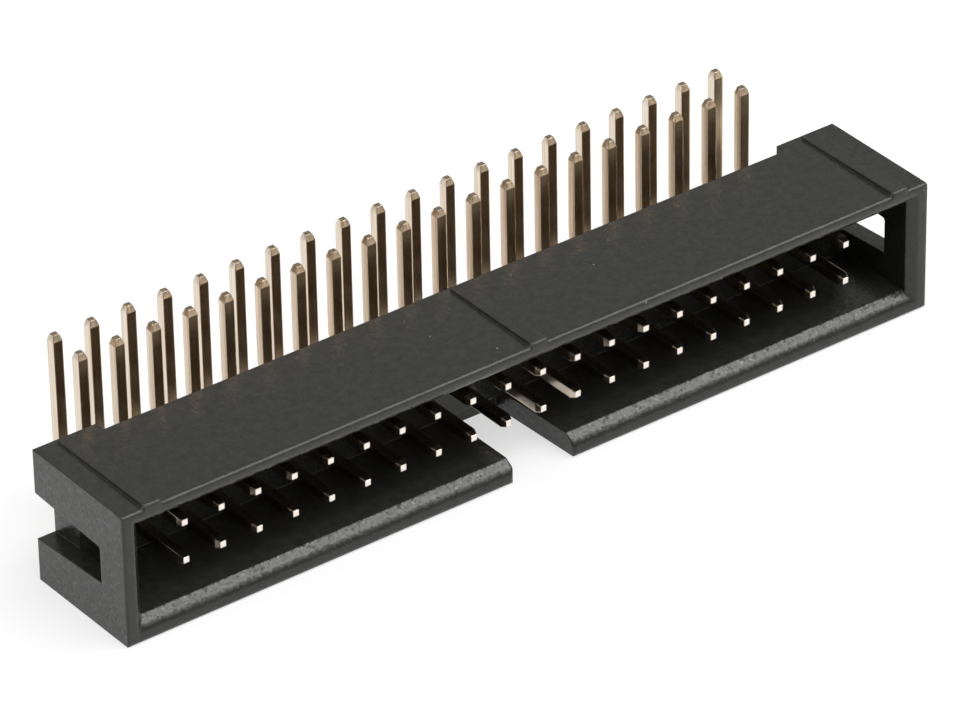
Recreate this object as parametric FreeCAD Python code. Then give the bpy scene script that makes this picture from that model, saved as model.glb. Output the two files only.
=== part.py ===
import FreeCAD, Part
import math
import os

# Right-angle box header: one moulded housing that holds two rows of bent square contacts.
# X runs along the rows, Y from the mouth to the solder tails, and Z up to the tips of the tails.
# The header rests on its keyed long wall, at Z 0, and the origin is the middle of its footprint.

# Grid of the contacts
WAYS = 20                  # contacts in each row
PITCH = 2.54               # between columns, between rows and between tail rows

# Contacts
WIRE = 0.64                # side of the square wire
TIP_WIDTH = 0.38           # side of the blunt end
TIP_LENGTH = 0.40          # length of the taper
BEND_RADIUS = 0.60         # inside of the bend
TIP_SETBACK = 1.40         # mating tips behind the mouth
TAIL_SETBACK = 2.47        # nearer tail row behind the ears
TAIL_HEIGHT = 3.28         # tail tips above the board side of the housing

# Housing, outside
HEIGHT = 8.80              # resting side to board side
DEPTH = 8.90               # mouth to the rear of the ears
END_MARGIN = 5.08          # last column to the end of the housing
REAR_RECESS = 0.75         # rear face between the ears, ahead of the ears
EAR_GAP = 0.72             # last column to the inner side of the ear
BOARD_SIDE_DRAFT = 0.10    # board side lower at the mouth than at the rear
MOUTH_ROUND = 0.20         # outer edges of the long walls at the mouth

# Housing, cavity
END_WALL = 1.21
LONG_WALL = 1.35
CAVITY_DEPTH = 6.40        # mouth to the floor that the contacts stand in
END_LEAD = 0.50            # lead-in of the end walls, as wide as it is deep
LONG_LEAD = 0.52           # width of the lead-in of the long walls
LONG_LEAD_DEPTH = 0.80
LONG_LEAD_RADIUS = 0.80    # where that lead-in meets the mouth face
LONG_LEAD_BLEND = 0.15     # where it runs into the cavity

# Housing, key notch through the lower long wall
KEY_WIDTH = 4.38           # at the mouth
KEY_OFFSET = 0.22          # middle of the mouth of the notch from the middle of the rows
KEY_DRAFT = 0.26           # how far the side without the rounded corner leans in by the blind end
KEY_BITE = 0.85            # notch past the cavity floor
KEY_CORNER = 0.30          # rounded corner on one side of the notch

# Housing, stand-off ribs on the board side
RIB_WIDTH = 1.15
RIB_HEIGHT = 0.15          # flat tops above the rear of the board side
RIB_INSET = 2.08           # middle of an outer rib from the end of the housing
RIB_ROUND = 0.15           # upper front edge
RIB_REAR = 0.30            # rear of a rib to the rear face under it

# Housing, slots in the end walls, open to the rear
SLOT_START = 2.45          # mouth to the blind end
SLOT_FRONT_WIDTH = 2.40
SLOT_REAR_WIDTH = 3.09
SLOT_DROP = 0.05           # middle of the slot below the middle of the housing
SLOT_CORNER = 0.20         # upper corner of the blind end

# How far a cutting solid runs past the face that it opens
OVERRUN = 1.0

# Sizes that follow
row_half = (WAYS - 1) * PITCH / 2
end_x = row_half + END_MARGIN
cavity_x = end_x - END_WALL
ear_x = row_half + EAR_GAP
rear_y = DEPTH - REAR_RECESS
upper_row_z = (HEIGHT + PITCH) / 2
lower_row_z = (HEIGHT - PITCH) / 2
near_tail_y = DEPTH + TAIL_SETBACK
far_tail_y = near_tail_y + PITCH
tail_top_z = HEIGHT + TAIL_HEIGHT
overall_depth = far_tail_y + WIRE / 2
column_xs = [PITCH * column - row_half for column in range(WAYS)]


def in_plan(x, y):
    """A point of an outline drawn in plan, on the resting plane."""
    return FreeCAD.Vector(x, y, 0)


def in_side_view(y, z):
    """A point of an outline drawn in side view, on the middle plane."""
    return FreeCAD.Vector(0, y, z)


def outline_face(corners, place):
    """The face inside corners given as (a, b), or as (a, b, radius) where the corner is rounded."""
    points = [place(corner[0], corner[1]) for corner in corners]
    edges = []
    starts = []
    ends = []
    for index, corner in enumerate(corners):
        here = points[index]
        radius = corner[2] if len(corner) > 2 else 0
        if radius == 0:
            starts.append(here)
            ends.append(here)
            continue
        back = (points[index - 1] - here).normalize()
        onward = (points[(index + 1) % len(points)] - here).normalize()
        half_angle = back.getAngle(onward) / 2
        inward = (back + onward).normalize()
        start = here + back * (radius / math.tan(half_angle))
        end = here + onward * (radius / math.tan(half_angle))
        middle = here + inward * (radius / math.sin(half_angle) - radius)
        edges.append(Part.Arc(start, middle, end).toShape())
        starts.append(start)
        ends.append(end)
    for index, end in enumerate(ends):
        edges.append(Part.LineSegment(end, starts[(index + 1) % len(starts)]).toShape())
    return Part.Face(Part.Wire(Part.__sortEdges__(edges)))


def plan_prism(corners, low_z, high_z):
    """A solid with upright sides from an outline in plan."""
    prism = outline_face(corners, in_plan).extrude(FreeCAD.Vector(0, 0, high_z - low_z))
    prism.translate(FreeCAD.Vector(0, 0, low_z))
    return prism


def side_prism(corners, low_x, high_x):
    """A solid along X from an outline in side view."""
    prism = outline_face(corners, in_side_view).extrude(FreeCAD.Vector(high_x - low_x, 0, 0))
    prism.translate(FreeCAD.Vector(low_x, 0, 0))
    return prism


def block(low, high):
    """A box between two opposite corners."""
    size = [b - a for a, b in zip(low, high)]
    return Part.makeBox(size[0], size[1], size[2], FreeCAD.Vector(*low))


def housing_shell():
    """The outside of the moulding: a drafted bar with an ear at each end of its rear face."""
    plan = plan_prism(
        [
            (-end_x, 0),
            (end_x, 0),
            (end_x, DEPTH),
            (ear_x, DEPTH),
            (ear_x, rear_y),
            (-ear_x, rear_y),
            (-ear_x, DEPTH),
            (-end_x, DEPTH),
        ],
        0,
        HEIGHT,
    )
    profile = side_prism(
        [
            (0, 0, MOUTH_ROUND),
            (DEPTH, 0),
            (DEPTH, HEIGHT),
            (rear_y, HEIGHT),
            (0, HEIGHT - BOARD_SIDE_DRAFT, MOUTH_ROUND),
        ],
        -end_x,
        end_x,
    )
    return plan.common(profile)


def cavity():
    """The space behind the mouth, with lead-ins on all four walls."""
    low_z = LONG_WALL
    high_z = HEIGHT - LONG_WALL
    between_long_walls = side_prism(
        [
            (-OVERRUN, 0),
            (0, 0),
            (0, low_z - LONG_LEAD, LONG_LEAD_RADIUS),
            (LONG_LEAD_DEPTH, low_z, LONG_LEAD_BLEND),
            (CAVITY_DEPTH, low_z),
            (CAVITY_DEPTH, high_z),
            (LONG_LEAD_DEPTH, high_z, LONG_LEAD_BLEND),
            (0, high_z + LONG_LEAD, LONG_LEAD_RADIUS),
            (0, HEIGHT),
            (-OVERRUN, HEIGHT),
        ],
        -end_x,
        end_x,
    )
    flared_x = cavity_x + END_LEAD + OVERRUN
    between_end_walls = plan_prism(
        [
            (-flared_x, -OVERRUN),
            (flared_x, -OVERRUN),
            (cavity_x, END_LEAD),
            (cavity_x, CAVITY_DEPTH),
            (-cavity_x, CAVITY_DEPTH),
            (-cavity_x, END_LEAD),
        ],
        0,
        HEIGHT,
    )
    return between_long_walls.common(between_end_walls)


def key_notch():
    """The notch that a plug's key enters, through the lower wall and into the edge of the floor."""
    left_x = KEY_OFFSET - KEY_WIDTH / 2
    right_x = KEY_OFFSET + KEY_WIDTH / 2
    back_y = CAVITY_DEPTH + KEY_BITE
    return plan_prism(
        [
            (left_x - KEY_CORNER - OVERRUN, -OVERRUN),
            (left_x - KEY_CORNER - OVERRUN, 0),
            (left_x, 0, KEY_CORNER),
            (left_x, back_y),
            (right_x - KEY_DRAFT, back_y),
            (right_x, 0),
            (right_x, -OVERRUN),
        ],
        -OVERRUN,
        LONG_WALL,
    )


def end_slot(side):
    """The tapered slot through one end wall, as far in as the end of the floor block."""
    middle_z = HEIGHT / 2 - SLOT_DROP
    front_half = SLOT_FRONT_WIDTH / 2
    rear_half = SLOT_REAR_WIDTH / 2
    corners = [
        (SLOT_START, middle_z - front_half),
        (DEPTH, middle_z - rear_half),
        (DEPTH + OVERRUN, middle_z - rear_half),
        (DEPTH + OVERRUN, middle_z + rear_half),
        (DEPTH, middle_z + rear_half),
        (SLOT_START, middle_z + front_half, SLOT_CORNER),
    ]
    inner_x = side * cavity_x
    outer_x = side * (end_x + OVERRUN)
    return side_prism(corners, min(inner_x, outer_x), max(inner_x, outer_x))


def contact_passage(x, z):
    """The square hole that one contact is pressed into, line to line with its wire."""
    half = WIRE / 2
    return block((x - half, CAVITY_DEPTH - OVERRUN, z - half), (x + half, DEPTH + OVERRUN, z + half))


def stand_off_rib(x, rear_face_y):
    """A rib that keeps the moulding off the board, from the mouth back, rooted in the wall under it."""
    root_z = HEIGHT - LONG_WALL / 2
    top_z = HEIGHT + RIB_HEIGHT
    rear_end_y = rear_face_y - RIB_REAR
    corners = [
        (0, root_z),
        (rear_end_y, root_z),
        (rear_end_y, top_z),
        (0, top_z, RIB_ROUND),
    ]
    return side_prism(corners, x - RIB_WIDTH / 2, x + RIB_WIDTH / 2)


def housing():
    """The whole moulding."""
    outer_rib_x = end_x - RIB_INSET
    ribs = [
        stand_off_rib(-outer_rib_x, DEPTH),
        stand_off_rib(0, rear_y),
        stand_off_rib(outer_rib_x, DEPTH),
    ]
    cuts = [cavity(), key_notch(), end_slot(-1), end_slot(1)]
    for x in column_xs:
        cuts.append(contact_passage(x, upper_row_z))
        cuts.append(contact_passage(x, lower_row_z))
    return housing_shell().fuse(ribs).cut(cuts).removeSplitter()


def square_wire(centre, side, across, up):
    """A square loop about centre, with its sides along across and up."""
    half_across = across * (side / 2)
    half_up = up * (side / 2)
    corners = [
        centre - half_across - half_up,
        centre + half_across - half_up,
        centre + half_across + half_up,
        centre - half_across + half_up,
    ]
    return Part.makePolygon(corners + corners[:1])


def tapered_tip(base, direction, across, up):
    """The tapered end of the wire, from its full section to its blunt end."""
    full = square_wire(base, WIRE, across, up)
    blunt = square_wire(base + direction * TIP_LENGTH, TIP_WIDTH, across, up)
    return Part.makeLoft([full, blunt], True, True)


def contact(row_z, tail_y):
    """One contact on the middle plane: a mating pin and a solder tail joined by a round bend."""
    half = WIRE / 2
    pin_y = TIP_SETBACK + TIP_LENGTH
    tail_z = tail_top_z - TIP_LENGTH
    wire = side_prism(
        [
            (pin_y, row_z - half),
            (tail_y + half, row_z - half, BEND_RADIUS + WIRE),
            (tail_y + half, tail_z),
            (tail_y - half, tail_z),
            (tail_y - half, row_z + half, BEND_RADIUS),
            (pin_y, row_z + half),
        ],
        -half,
        half,
    )
    along_x = FreeCAD.Vector(1, 0, 0)
    along_y = FreeCAD.Vector(0, 1, 0)
    along_z = FreeCAD.Vector(0, 0, 1)
    mating_tip = tapered_tip(in_side_view(pin_y, row_z), -along_y, along_x, along_z)
    solder_tip = tapered_tip(in_side_view(tail_y, tail_z), along_z, along_x, along_y)
    return wire.fuse([mating_tip, solder_tip]).removeSplitter()


def save(shape, node):
    """Write one node, moved from the mouth plane to the middle of the footprint."""
    placed = shape.copy()
    placed.translate(FreeCAD.Vector(0, -overall_depth / 2, 0))
    placed.exportStep(f"parts/{node}.step")


os.makedirs("parts", exist_ok=True)
save(housing(), "housing")
upper_contact = contact(upper_row_z, near_tail_y)
lower_contact = contact(lower_row_z, far_tail_y)
for number, column_x in enumerate(column_xs, start=1):
    for row, master in (("a", upper_contact), ("b", lower_contact)):
        placed_contact = master.copy()
        placed_contact.translate(FreeCAD.Vector(column_x, 0, 0))
        save(placed_contact, f"contact_{row}{number:02d}")
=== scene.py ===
"""Looks for a right-angle box header: moulded black housing, plated contacts, white studio."""
import math

import bpy
from mathutils import Euler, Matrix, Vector


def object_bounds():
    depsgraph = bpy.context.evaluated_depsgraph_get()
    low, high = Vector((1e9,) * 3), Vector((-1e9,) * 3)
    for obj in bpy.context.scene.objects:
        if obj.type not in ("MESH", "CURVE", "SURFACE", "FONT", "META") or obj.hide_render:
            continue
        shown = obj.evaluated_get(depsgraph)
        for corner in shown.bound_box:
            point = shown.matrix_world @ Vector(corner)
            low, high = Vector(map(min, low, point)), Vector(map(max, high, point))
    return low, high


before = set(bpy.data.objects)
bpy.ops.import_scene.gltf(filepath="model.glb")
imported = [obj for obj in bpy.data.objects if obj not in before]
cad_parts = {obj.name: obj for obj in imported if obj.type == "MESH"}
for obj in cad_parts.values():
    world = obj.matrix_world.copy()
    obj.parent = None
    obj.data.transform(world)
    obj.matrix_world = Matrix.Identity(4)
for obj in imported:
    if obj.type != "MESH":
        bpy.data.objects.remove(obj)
cad_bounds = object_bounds()

MM = 0.001
WHITE = (1.0, 1.0, 1.0, 1.0)

# Middle of the header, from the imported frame
centre = (Vector(cad_bounds[0]) + Vector(cad_bounds[1])) / 2

# Camera, fitted to the contact tips and the corners of the housing, in metres and degrees
CAMERA_PLACE = Vector((-0.197334, -0.267061, 0.212565))
CAMERA_AZIMUTH = 36.592
CAMERA_ELEVATION = 32.113
CAMERA_ROLL = -1.069
CAMERA_LENS_MM = 250.68
CAMERA_SENSOR_MM = 36.0
CAMERA_CLIP = (0.01, 10.0)

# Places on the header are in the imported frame: the mouth is at Y = -7.115 mm, the board side up

# Noise values that are stretched to 0 and 1
NOISE_SPAN = (0.35, 0.65)

# Colour of the moulded plastic: cloudy black with a few grains of dust
PLASTIC_DARK = (0.0150, 0.0156, 0.0130, 1.0)
PLASTIC_PALE = (0.0215, 0.0215, 0.0192, 1.0)
CLOUDS_PER_MM = 1.6
CLOUD_DETAIL = 4.0
DUST = (0.20, 0.20, 0.19, 1.0)
SPECKS_PER_MM = 0.9
SPECK_RADIUS_MM = 0.06
SPECK_SHARE = 0.05

# Skin of the moulded plastic: small facets, some of them glossier, over a shallow grain
PLASTIC_IOR = 1.5
MATT = 0.245
GLOSSY = 0.15
FLECKS_PER_MM = 6.0
FLECK_SHARE = 0.12
FLECK_TILT = 0.10
GRAINS_PER_MM = 4.0
GRAIN_DETAIL = 2.0
GRAIN_DEPTH_MM = 0.003

# Lead-in along the lower wall, where the facets are tilted more
BAND_TILT = 0.15
BAND_MIDDLE_MM = -6.62
BAND_HALF_MM = 0.42
BAND_TOP_MM = 1.50

# Softened edges of the moulding: the radius at the mouth, the radius elsewhere, and from where
# to where along Y the one passes into the other
MOUTH_EDGE_MM = 0.34
OTHER_EDGE_MM = 0.12
MOUTH_ZONE_MM = (-6.90, -6.40)
MOULDING_BEVEL_SAMPLES = 8

# Colours of a contact: plated sides, rolled faces of the tail (browner partly from their finish
# and partly from painted shade), wire between tip and bend, tip face (paler, with a painted
# highlight), and the end that is cut off
GOLD_DEEP = (0.65, 0.53, 0.40, 1.0)
GOLD_PALE = (0.775, 0.69, 0.59, 1.0)
# Browner colours of the rolled faces: partly their finish, partly painted shade of the dark
# housing they face
SHADED_BRONZE_DEEP = (0.58, 0.41, 0.24, 1.0)
SHADED_BRONZE = (0.78, 0.59, 0.39, 1.0)
SHAFT = (0.62, 0.535, 0.43, 1.0)
# Tip face: gold made paler, a painted highlight
TIP_PAINTED_HIGHLIGHT = (0.92, 0.83, 0.755, 1.0)
CUT_END = (0.36, 0.30, 0.23, 1.0)

# Where those colours lie: the tail is where Y + Z is past the bend line, a face belongs to the
# sides where it turns to X by more than the limit, and a pair is from where to where a tone comes
BEND_LINE_MM = 9.925
SIDEWAYS_LIMIT = 0.5
TIP_FACE_MM = -5.70
TIP_TONE_MM = (-5.35, -4.90)
CUT_END_MM = (11.60, 11.95)

# Surface of a contact: fine lines drawn out along the wire, and blotches on the cut end
DRAWN_OUT = 0.03
LINES_PER_MM = 7.0
BLOTCHES_PER_MM = 5.0
WIRE_DETAIL = 3.0
LINE_DEPTH_MM = 0.0012
SIDE_ROUGHNESS = 0.15
ROLLED_ROUGHNESS = 0.23
WIRE_EDGE_MM = 0.10
WIRE_BEVEL_SAMPLES = 6

# Surroundings, floor and lamps: each lamp has a direction from the header and a radiance
WORLD_LEVEL = 0.373
FLOOR_COLOUR = (0.32, 0.32, 0.32, 1.0)
FLOOR_GLOW = 0.61
FLOOR_SIZE = 6.0
FLOOR_GAP_MM = 0.02
LAMP_DISTANCE = 0.70
LAMP_SIZE = 0.36
LAMPS = (
    ("above_right", (0.288, -0.288, 0.914), 4.2),
    ("above_front", (-0.105, -0.393, 0.914), 5.1),
    ("right", (0.707, -0.230, 0.669), 4.0),
    ("left", (-0.707, 0.230, 0.669), 4.4),
    ("front", (0.437, -0.601, 0.669), 1.4),
)


class Graph:
    """The node tree of a material or a world, emptied and built up node by node."""

    def __init__(self, owner):
        owner.use_nodes = True
        self.nodes = owner.node_tree.nodes
        self.links = owner.node_tree.links
        self.nodes.clear()

    def node(self, kind, inputs, **settings):
        """A new node. An input is a plain value, or an output of another node to link."""
        node = self.nodes.new("ShaderNode" + kind)
        for name, value in settings.items():
            setattr(node, name, value)
        for name, value in inputs.items():
            if isinstance(value, bpy.types.NodeSocket):
                self.links.new(value, node.inputs[name])
            else:
                node.inputs[name].default_value = value
        return node

    def maths(self, operation, *values):
        """The result of an operation on numbers."""
        node = self.node("Math", dict(enumerate(values)), operation=operation)
        return node.outputs["Value"]

    def vector(self, operation, *values):
        """The result of an operation on vectors."""
        node = self.node("VectorMath", dict(enumerate(values)), operation=operation)
        return node.outputs["Vector"]

    def axes(self, vector):
        """The X, Y and Z of a vector."""
        return self.node("SeparateXYZ", {"Vector": vector}).outputs

    def mix(self, factor, first, second, data_type="RGBA"):
        """The first value at factor 0, the second at factor 1."""
        inputs = {"Factor": factor, "A": first, "B": second}
        return self.node("Mix", inputs, data_type=data_type).outputs["Result"]

    def span(self, value, ends, limits=(0.0, 1.0)):
        """A value carried from its limits to two ends, and held there beyond them."""
        inputs = {"Value": value, "From Min": limits[0], "From Max": limits[1]}
        inputs.update({"To Min": ends[0], "To Max": ends[1]})
        return self.node("MapRange", inputs).outputs["Result"]

    def noise(self, place, per_mm, detail):
        """Noise over the object, from 0 to 1."""
        inputs = {"Vector": place, "Scale": per_mm, "Detail": detail}
        texture = self.node("TexNoise", inputs)
        return self.span(texture.outputs["Fac"], (0.0, 1.0), NOISE_SPAN)

    def bump(self, height, depth_mm, normal):
        """A normal bent by a height over the object."""
        inputs = {"Strength": 1.0, "Distance": depth_mm * MM, "Height": height, "Normal": normal}
        return self.node("Bump", inputs).outputs["Normal"]

    def place_mm(self):
        """The place on the header, in millimetres."""
        place = self.node("TexCoord", {}).outputs["Object"]
        return self.vector("MULTIPLY", place, (1 / MM, 1 / MM, 1 / MM))


def specks(graph, place):
    """A mask of a few grains of dust, scattered over the surface."""
    cells = graph.node("TexVoronoi", {"Vector": place, "Scale": SPECKS_PER_MM}).outputs
    near = graph.maths("LESS_THAN", cells["Distance"], SPECK_RADIUS_MM * SPECKS_PER_MM)
    draw = graph.node("SeparateColor", {"Color": cells["Color"]}).outputs["Red"]
    return graph.maths("MULTIPLY", near, graph.maths("LESS_THAN", draw, SPECK_SHARE))


def on_band(graph, place):
    """A mask of the lead-in along the lower wall."""
    axes = graph.axes(place)
    deep = graph.maths("COMPARE", axes["Y"], BAND_MIDDLE_MM, BAND_HALF_MM)
    return graph.maths("MULTIPLY", deep, graph.maths("LESS_THAN", axes["Z"], BAND_TOP_MM))


def flecks(graph, place):
    """A mask of the glossier facets of the moulded skin, and how each facet is tilted."""
    cells = graph.node("TexVoronoi", {"Vector": place, "Scale": FLECKS_PER_MM}).outputs
    draw = graph.node("SeparateColor", {"Color": cells["Color"]}).outputs["Blue"]
    glossier = graph.maths("LESS_THAN", draw, FLECK_SHARE)
    either_way = graph.vector("SUBTRACT", cells["Color"], (0.5, 0.5, 0.5))
    strength = graph.span(on_band(graph, place), (FLECK_TILT, BAND_TILT))
    inputs = {"Vector": either_way, "Scale": strength}
    tilt = graph.node("VectorMath", inputs, operation="SCALE").outputs["Vector"]
    return glossier, tilt


def edge_radius(graph, place):
    """How far an edge is softened: most at the mouth, little elsewhere."""
    ends = (MOUTH_EDGE_MM * MM, OTHER_EDGE_MM * MM)
    return graph.span(graph.axes(place)["Y"], ends, MOUTH_ZONE_MM)


def moulding_material():
    """Black glass-filled plastic with a cloudy, faintly faceted skin."""
    material = bpy.data.materials.new("moulding")
    graph = Graph(material)
    place = graph.place_mm()
    clouds = graph.noise(place, CLOUDS_PER_MM, CLOUD_DETAIL)
    colour = graph.mix(clouds, PLASTIC_DARK, PLASTIC_PALE)
    colour = graph.mix(specks(graph, place), colour, DUST)
    glossier, tilt = flecks(graph, place)
    radius = edge_radius(graph, place)
    rounded = graph.node("Bevel", {"Radius": radius}, samples=MOULDING_BEVEL_SAMPLES)
    grain = graph.noise(place, GRAINS_PER_MM, GRAIN_DETAIL)
    normal = graph.bump(grain, GRAIN_DEPTH_MM, rounded.outputs["Normal"])
    inputs = {
        "Base Color": colour,
        "Roughness": graph.span(glossier, (MATT, GLOSSY)),
        "IOR": PLASTIC_IOR,
        "Normal": graph.vector("NORMALIZE", graph.vector("ADD", normal, tilt)),
    }
    plastic = graph.node("BsdfPrincipled", inputs)
    graph.node("OutputMaterial", {"Surface": plastic.outputs["BSDF"]})
    return material


def contact_masks(graph, place):
    """Masks of a contact's tail, of its tip face, of its wire from tip to bend and of its end."""
    axes = graph.axes(place)
    reach = graph.maths("ADD", axes["Y"], axes["Z"])
    tail = graph.maths("GREATER_THAN", reach, BEND_LINE_MM)
    tip = graph.maths("LESS_THAN", axes["Y"], TIP_FACE_MM)
    past_tip = graph.span(axes["Y"], (0.0, 1.0), TIP_TONE_MM)
    shaft = graph.maths("MAXIMUM", graph.maths("SUBTRACT", past_tip, tail), 0.0)
    end = graph.span(axes["Z"], (0.0, 1.0), CUT_END_MM)
    return tail, tip, shaft, end


def drawn_place(graph, place, tail):
    """The place drawn out along the wire: along Y up to the bend, along Z on the tail."""
    along_y = graph.vector("MULTIPLY", place, (1, DRAWN_OUT, 1))
    along_z = graph.vector("MULTIPLY", place, (1, 1, DRAWN_OUT))
    return graph.mix(tail, along_y, along_z, data_type="VECTOR")


def contact_material():
    """Thin gold over a copper-tin strip: pale cut sides, rolled faces on the tails browner partly
    from their finish and partly from painted shade, and a painted highlight on the tip faces.
    """
    material = bpy.data.materials.new("contact")
    graph = Graph(material)
    place = graph.place_mm()
    tail, tip, shaft, end = contact_masks(graph, place)
    drawn = drawn_place(graph, place, tail)
    lines = graph.noise(drawn, LINES_PER_MM, WIRE_DETAIL)
    blotches = graph.noise(drawn, BLOTCHES_PER_MM, WIRE_DETAIL)
    facing = graph.node("NewGeometry", {}).outputs["True Normal"]
    sideways = graph.maths("ABSOLUTE", graph.axes(facing)["X"])
    not_side = graph.maths("LESS_THAN", sideways, SIDEWAYS_LIMIT)
    rolled = graph.maths("MULTIPLY", not_side, tail)
    gold = graph.mix(lines, GOLD_DEEP, GOLD_PALE)
    # Browner rolled faces of the tails: partly their finish, partly painted shade
    bronze_with_shade = graph.mix(lines, SHADED_BRONZE_DEEP, SHADED_BRONZE)
    colour = graph.mix(rolled, graph.mix(shaft, gold, SHAFT), bronze_with_shade)
    colour = graph.mix(graph.maths("MULTIPLY", end, blotches), colour, CUT_END)
    # Painted highlight: the tip faces are made paler than the gold
    colour = graph.mix(tip, colour, TIP_PAINTED_HIGHLIGHT)
    rounded = graph.node("Bevel", {"Radius": WIRE_EDGE_MM * MM}, samples=WIRE_BEVEL_SAMPLES)
    inputs = {
        "Metallic": 1.0,
        "Base Color": colour,
        "Roughness": graph.span(rolled, (SIDE_ROUGHNESS, ROLLED_ROUGHNESS)),
        "Normal": graph.bump(lines, LINE_DEPTH_MM, rounded.outputs["Normal"]),
    }
    metal = graph.node("BsdfPrincipled", inputs)
    graph.node("OutputMaterial", {"Surface": metal.outputs["BSDF"]})
    return material


def assign(obj, material):
    """Give every slot of an object one material."""
    if not obj.data.materials:
        obj.data.materials.append(material)
    for index in range(len(obj.data.materials)):
        obj.data.materials[index] = material


def floor_material():
    """A floor that takes a shadow, and is white to the camera, in gloss and through glass."""
    material = bpy.data.materials.new("floor")
    graph = Graph(material)
    matt = graph.node("BsdfDiffuse", {"Color": FLOOR_COLOUR})
    rays = graph.node("LightPath", {}).outputs
    seen = graph.maths("MAXIMUM", rays["Is Camera Ray"], rays["Is Glossy Ray"])
    seen = graph.maths("MAXIMUM", seen, rays["Is Transmission Ray"])
    strength = graph.maths("MULTIPLY", seen, FLOOR_GLOW)
    glow = graph.node("Emission", {"Color": WHITE, "Strength": strength})
    both = graph.node("AddShader", {0: matt.outputs["BSDF"], 1: glow.outputs["Emission"]})
    graph.node("OutputMaterial", {"Surface": both.outputs["Shader"]})
    return material


def make_floor():
    """The surface that the header lies on."""
    bpy.ops.mesh.primitive_plane_add(size=FLOOR_SIZE, location=(0, 0, -FLOOR_GAP_MM * MM))
    floor = bpy.context.object
    floor.name = "floor"
    floor.data.materials.append(floor_material())


def make_world():
    """Even grey surroundings."""
    world = bpy.data.worlds.new("studio")
    bpy.context.scene.world = world
    graph = Graph(world)
    light = graph.node("Background", {"Color": WHITE, "Strength": WORLD_LEVEL})
    graph.node("OutputWorld", {"Surface": light.outputs["Background"]})


def make_lamp(name, towards, radiance):
    """A square lamp that faces the header from a direction, at a set radiance."""
    lamp = bpy.data.lights.new(name, "AREA")
    lamp.shape = "SQUARE"
    lamp.size = LAMP_SIZE
    lamp.energy = radiance * math.pi * LAMP_SIZE * LAMP_SIZE
    obj = bpy.data.objects.new(name, lamp)
    bpy.context.scene.collection.objects.link(obj)
    direction = Vector(towards).normalized()
    obj.location = centre + direction * LAMP_DISTANCE
    obj.rotation_euler = direction.to_track_quat("Z", "Y").to_euler()


def make_camera():
    """The camera at the photograph's place."""
    lens = bpy.data.cameras.new("camera")
    lens.sensor_fit = "HORIZONTAL"
    lens.sensor_width = CAMERA_SENSOR_MM
    lens.lens = CAMERA_LENS_MM
    lens.clip_start, lens.clip_end = CAMERA_CLIP
    camera = bpy.data.objects.new("camera", lens)
    bpy.context.scene.collection.objects.link(camera)
    angles = (math.radians(90 - CAMERA_ELEVATION), 0, math.radians(-CAMERA_AZIMUTH))
    turn = Euler(angles).to_matrix()
    roll = Euler((0, 0, math.radians(CAMERA_ROLL))).to_matrix()
    camera.rotation_euler = (turn @ roll).to_euler()
    camera.location = CAMERA_PLACE
    bpy.context.scene.camera = camera


bpy.context.scene.view_settings.view_transform = "Standard"
moulding = moulding_material()
contact = contact_material()
for node_name, node_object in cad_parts.items():
    assign(node_object, moulding if node_name == "housing" else contact)
make_floor()
make_world()
for lamp_name, lamp_towards, lamp_radiance in LAMPS:
    make_lamp(lamp_name, lamp_towards, lamp_radiance)
make_camera()
